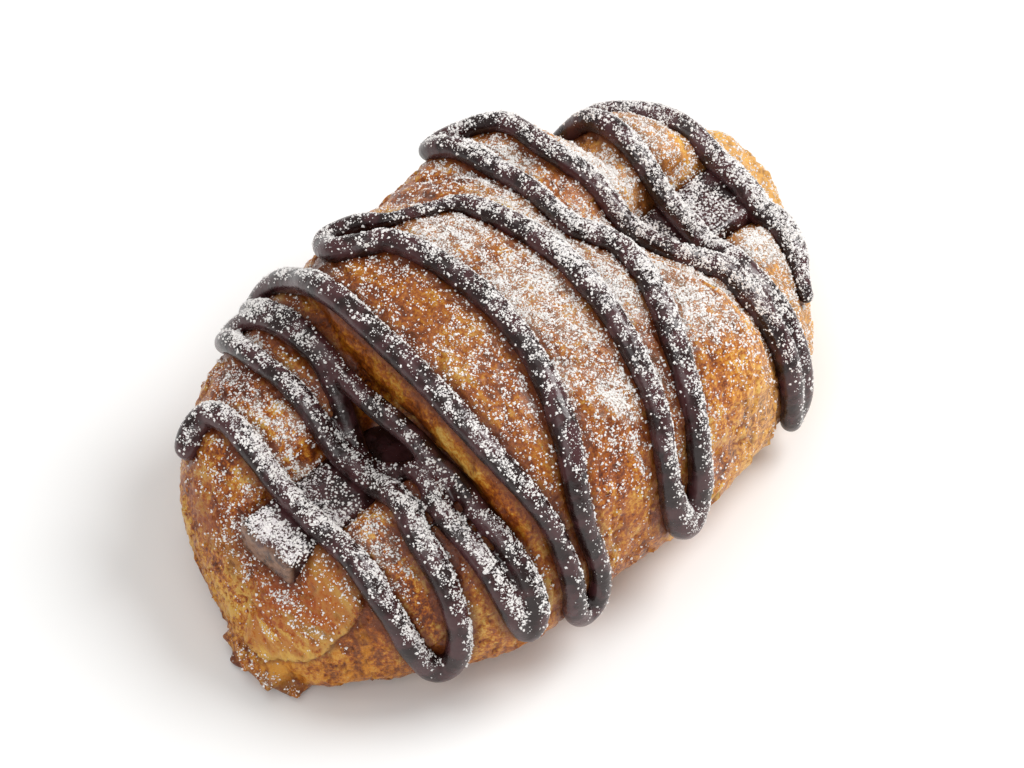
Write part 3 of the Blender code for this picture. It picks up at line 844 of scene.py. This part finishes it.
def dusted(piece, name, seed, sizes):
    copy = placed(name, piece.data.copy())
    made = grown(copy, sugar_tree(sugar_finish, seed), sizes)
    print(name + ":", len(made.data.polygons) // 8, "grains")
    return made


sugar_finish = bpy.data.materials.new("icing_sugar")
scattered = [
    dusted(dough, "sugar_on_crust", 11, COARSE),
    dusted(dough, "fine_sugar_on_crust", 21, FINE),
    dusted(strand, "sugar_on_chocolate", 31, COARSE),
    dusted(strand, "fine_sugar_on_chocolate", 41, FINE),
    dusted(baton, "sugar_on_baton", 51, COARSE),
]

# %% [markdown]
# ## Finishes
# Every finish is worked out from places on the object in millimetres, so it keeps its true scale. A few short
# helpers come first: colours as they are seen, blends, bumps, and the powder that is finer than any grain.

# %% Helpers for finishes
def rgb(red, green, blue):
    """A colour as seen, in 0 to 255, as the linear values that shaders take."""
    return tuple((value / 255 / 12.92) if value < 11 else ((value / 255 + 0.055) / 1.055) ** 2.4
                 for value in (red, green, blue))


def shader_tree(material):
    material.use_nodes = True
    tree = Tree(material.node_tree)
    shader = material.node_tree.nodes["Principled BSDF"]
    place = from_metres(tree, tree.add("ShaderNodeTexCoord")["Object"])
    return tree, shader, place


def blended(tree, share, one, other):
    values = {0: share, 6: (*one, 1) if isinstance(one, tuple) else one,
              7: (*other, 1) if isinstance(other, tuple) else other}
    return tree.add("ShaderNodeMix", {"data_type": "RGBA"}, values)[2]


def stored(tree, name):
    return tree.add("ShaderNodeAttribute", {"attribute_name": name})["Fac"]


def feed(tree, shader, **links):
    for name, value in links.items():
        socket = shader.inputs[name.replace("_", " ").title()]
        if isinstance(value, Field):
            tree.nodes.links.new(value.socket, socket)
        else:
            socket.default_value = value


def bumped(tree, height, distance):
    """A normal from a height field between 0 and 1 that stands for this many millimetres."""
    return tree.add("ShaderNodeBump", None, {"Height": height, "Distance": distance * MM})["Normal"]


def powder(tree, place, sugar, cover):
    """Where fine sugar lies: specks whose number follows the stored dusting."""
    specks = grain(tree, place, 2.6, 2, 0.75) + (grain(tree, place, 0.8, 2) - 0.5) * 0.35
    return (specks + sugar * cover).between(0.74, 0.79)


# %% [markdown]
# Crust is pale gold where it baked least and goes through amber to dark brown where it baked longest. One
# shade mixes broad blotches, fine flecks and streaks that follow the folding, and a ramp turns it into a
# colour. Near the left end the shade differs more from place to place, as it does on this pastry.

# %% The baked shade
BAKED = (  # the crust's colours, from the darkest shade to the palest
    (0.38, rgb(74, 24, 2)), (0.44, rgb(136, 58, 4)), (0.5, rgb(188, 100, 10)), (0.55, rgb(216, 142, 30)),
    (0.62, rgb(242, 196, 96)))


def baked_shade(tree, place, blotches, flecks, streaks):
    along, _, height = split(tree, place)
    shade = (blotches * 0.4 + flecks * 0.5 + streaks * 0.32 + stored(tree, "relief") * 0.06
             - height.between(18, 44) * 0.02 - 0.11)
    near_end = 1 - along.between(-45, -30)
    return shade + (shade - 0.5) * near_end * 0.6


print("shades of crust:", len(BAKED))

# %% [markdown]
# Then thin coats of colour are laid over it one by one. Some are what happened to the crust: it stayed pale
# low down, browned on top, darkened round the baton, burnt along the foot and got a veil of sugar. The rest
# paint light and shade: lighter at the right end and low on the front at the right, where the key light falls,
# darker on the left, where it falls less, painted shade in the creases over some real browning, and a painted
# shadow beside the chocolate along with the fat that the crust soaked up there.


# %% Coats of the crust
def crust_coats(tree, place, blotches, flecks, streaks):
    """How much of each further colour lies where, from 0 to 1, and the colour."""
    along, across, height = split(tree, place)
    low = 1 - (height + (blotches - 0.5) * 22).between(5, 18)
    # painted shade: the left half is darkened as if it lay away from the key light
    painted_left_shade = 1 - along.between(-30, 30)
    round_baton = (1 - along.between(-55, -45)) * height.between(12, 19) * streaks.between(0.3, 0.6)
    facet, rolled = stored(tree, "facet"), stored(tree, "rolled")
    # painted light: the right end is made paler where the key light falls
    painted_right_light = along.between(15, 38) * 0.2 + along.between(44, 58) * 0.4
    low_front = (1 - across.between(-22, -8)) * (1 - height.between(22, 38) * 0.7)
    # painted light: low on the front at the right, where the key light falls
    painted_front_light = along.between(10, 22) * low_front * (flecks.between(0.42, 0.58) * 0.42 + 0.06)
    on_top = height.between(32, 43) * (1 - along.between(14, 30))
    at_corner = 1 - along.between(-61.5, -57.5)
    scorched = at_corner.math("MAXIMUM", at_corner, blotches.between(0.4, 0.55))
    burnt = (1 - height.between(1.5, 4.5)) * scorched
    # fat soaked into the crust beside the chocolate, together with a painted contact shadow
    fat_and_painted_shadow = 1 - stored(tree, "chocolate_near").between(0.1, 2.4)
    return (
        (low * flecks.between(0.4, 0.6) * 0.5, rgb(222, 152, 36)),  # pale low down
        # painted shade over the left half, away from the key light
        (painted_left_shade * 0.25, rgb(132, 64, 8)),  # browner to the left
        (round_baton * 0.7, rgb(144, 66, 12)),  # dark round the baton's near end
        (facet * 0.2, rgb(168, 84, 8)),  # the lower dough, below the fold
        (facet * streaks.between(0.46, 0.6) * 0.5, rgb(212, 138, 28)),  # its pale streaks
        (rolled * (1 - streaks.between(0.5, 0.62)) * 0.6, rgb(170, 76, 6)),  # brown streaks above the fold
        # painted light on the right end
        (painted_right_light, rgb(250, 198, 112)),  # pale at the right end
        # painted light low on the front, to the right
        (painted_front_light, rgb(250, 194, 104)),  # pale low on the front, to the right
        (on_top * 0.28, rgb(104, 66, 30)),  # well baked on top
        # painted shade in the creases and under the fold, over some real browning
        (stored(tree, "crease") * 0.75, rgb(98, 40, 12)),  # dark in the creases
        (burnt * 0.75, rgb(98, 40, 14)),  # burnt along the foot, most of all at the near corner
        # painted shadow beside the chocolate, along with the real fat stain
        (fat_and_painted_shadow * 0.8, rgb(96, 40, 14)),  # soaked with fat beside the chocolate
        (stored(tree, "sugar").between(0.25, 0.85) * 0.28, rgb(206, 176, 146)))  # a veil of sugar


# %% [markdown]
# The finish puts it all together. The noises that colour the crust also give its finest bumps, so that colour
# and bumps agree. Powder lies over everything, and is matt where the crust shines a little.

# %% Crust
def finish_crust(material):
    tree, shader, place = shader_tree(material)
    along, round_about, radius = round_the_axis(tree, place)
    blotches = grain(tree, place, 1 / 7, 5, 0.68)
    flecks = grain(tree, place, 1.3, 4, 0.75)
    streaks = grain(tree, joined(tree, along, round_about * 0.16, radius * 0.25), 0.5, 4, 0.65)
    shade = baked_shade(tree, place, blotches, flecks, streaks)
    base = tree.add("ShaderNodeValToRGB", {"stops": BAKED}, {"Fac": shade})["Color"]
    for share, colour in crust_coats(tree, place, blotches, flecks, streaks):
        base = blended(tree, share, base, colour)
    white = powder(tree, place, stored(tree, "sugar"), cover=0.28)
    base = blended(tree, white, base, rgb(242, 238, 232))
    bump_height = flecks * 0.42 + streaks * 0.6 + grain(tree, place, 3, 2) * 0.15 + white * 0.4
    feed(tree, shader, base_color=base, roughness=0.36 + white * 0.5, coat_weight=(1 - white) * 0.22,
         coat_roughness=0.16, normal=bumped(tree, bump_height, 0.6))
    shader.inputs["Specular IOR Level"].default_value = 0.3


crust = bpy.data.materials.new("baked_crust")
finish_crust(crust)
dough.data.materials.clear()
dough.data.materials.append(crust)
print("crust:", len(crust.node_tree.nodes), "nodes")

# %% [markdown]
# Chocolate is nearly black, with a cloudy purple-brown cast where it set, and a soft gloss; the paler
# purple-brown of the clouds also stands in for the sheen on the strands' flanks, a painted sheen. The strand
# and the baton share one finish. The baton's cut end is paler, because the knife has smeared it.


# %% Chocolate
def finish_chocolate(material, cover, cut_end=None):
    """Chocolate under this much powder, with a worn face at this place along the pastry if one is given."""
    tree, shader, place = shader_tree(material)
    cloud_and_sheen = grain(tree, place, 0.25, 3)
    # random purple-brown clouding, whose paler colour is partly a painted sheen
    base = blended(tree, cloud_and_sheen.between(0.4, 0.62), rgb(34, 16, 14), rgb(74, 42, 44))
    if cut_end is not None:
        at_cut = 1 - split(tree, place)[0].between(cut_end + 0.3, cut_end + 1.3)
        worn = grain(tree, place, 0.6, 4, 0.7).between(0.3, 0.65)
        base = blended(tree, at_cut * worn, base, rgb(140, 104, 82))
    white = powder(tree, place, stored(tree, "sugar"), cover)
    base = blended(tree, white * 0.9, base, rgb(232, 226, 226))
    bump_height = grain(tree, place, 0.7, 2) * 0.5 + white * 0.5
    feed(tree, shader, base_color=base, roughness=0.24 + white * 0.5,
         normal=bumped(tree, bump_height, 0.3))


finish_chocolate(chocolate, cover=0.24)
strand.data.materials.clear()
strand.data.materials.append(chocolate)
baton_chocolate = bpy.data.materials.new("baton_chocolate")
finish_chocolate(baton_chocolate, cover=0.28, cut_end=BATON_MIDDLE.x - BATON[0] / 2)
baton.data.materials.append(baton_chocolate)
print("chocolate:", len(chocolate.node_tree.nodes), "nodes")

# %% [markdown]
# Icing sugar is matt and not quite white, and a little uneven from clump to clump.


# %% Sugar
def finish_sugar(material):
    tree, shader, place = shader_tree(material)
    white = blended(tree, grain(tree, place, 1.2), rgb(232, 227, 223), rgb(250, 248, 246))
    feed(tree, shader, base_color=white, roughness=0.8)


finish_sugar(sugar_finish)
print("finishes:", [material.name for material in bpy.data.materials])

# %% [markdown]
# ## Stage
# The photograph was taken on white with broad soft light, brightest from the right. A pale sheet and three
# round soft lights do the same here: a key from the right, a weaker fill from the left and a touch from the
# top, in an even white surround.

# %% Floor and light
FLOOR_SIZE, SURROUND = 3, 0.44
LIGHTS = (  # name, the way towards it, distance, size, power in watts
    ("key", (0.9, -0.4, 1.25), 0.9, 0.55, 6.0),
    ("top", (-0.2, 0.5, 1.6), 1.0, 0.8, 1.4),
    ("fill", (-1, -0.5, 0.9), 1.1, 0.9, 3.4))


def make_floor():
    mesh = bmesh.new()
    bmesh.ops.create_grid(mesh, x_segments=1, y_segments=1, size=FLOOR_SIZE)
    data = bpy.data.meshes.new("floor")
    mesh.to_mesh(data)
    mesh.free()
    floor = placed("floor", data)
    paper = bpy.data.materials.new("pale_paper")
    tree, shader, place = shader_tree(paper)
    tone = blended(tree, grain(tree, place, 0.02), rgb(246, 246, 245), rgb(250, 250, 249))
    feed(tree, shader, base_color=tone, roughness=0.9)
    data.materials.append(paper)


def soft_light(name, towards, distance, size, power_w):
    light = bpy.data.lights.new(name, "AREA")
    light.shape = "DISK"
    light.size, light.energy = size, power_w
    lamp = bpy.data.objects.new(name, light)
    direction = Vector(towards).normalized()
    lamp.location = direction * distance
    lamp.rotation_euler = (-direction).to_track_quat("-Z", "Y").to_euler()
    bpy.context.scene.collection.objects.link(lamp)


make_floor()
for light in LIGHTS:
    soft_light(*light)
world = bpy.data.worlds.new("studio")
world.use_nodes = True
surround = world.node_tree.nodes["Background"]
surround.inputs["Color"].default_value = (1, 1, 1, 1)
surround.inputs["Strength"].default_value = SURROUND
bpy.context.scene.world = world
bpy.context.scene.view_settings.view_transform = "Standard"
print("stage: a floor and", len(LIGHTS), "lights")

# %% [markdown]
# ## Hand the pieces to the frame
# Every piece rides on the one body, and the frame's solid that it stands for is hidden.

# %% Ride and replace
for piece in [dough, strand, *scattered[:4]]:
    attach(piece, "root")
    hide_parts("croissant")
for piece in [baton, scattered[4]]:
    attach(piece, "root")
    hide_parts("chocolate_baton")

print("pieces:", {piece.name: len(piece.data.polygons) for piece in [dough, strand, baton, *scattered]})
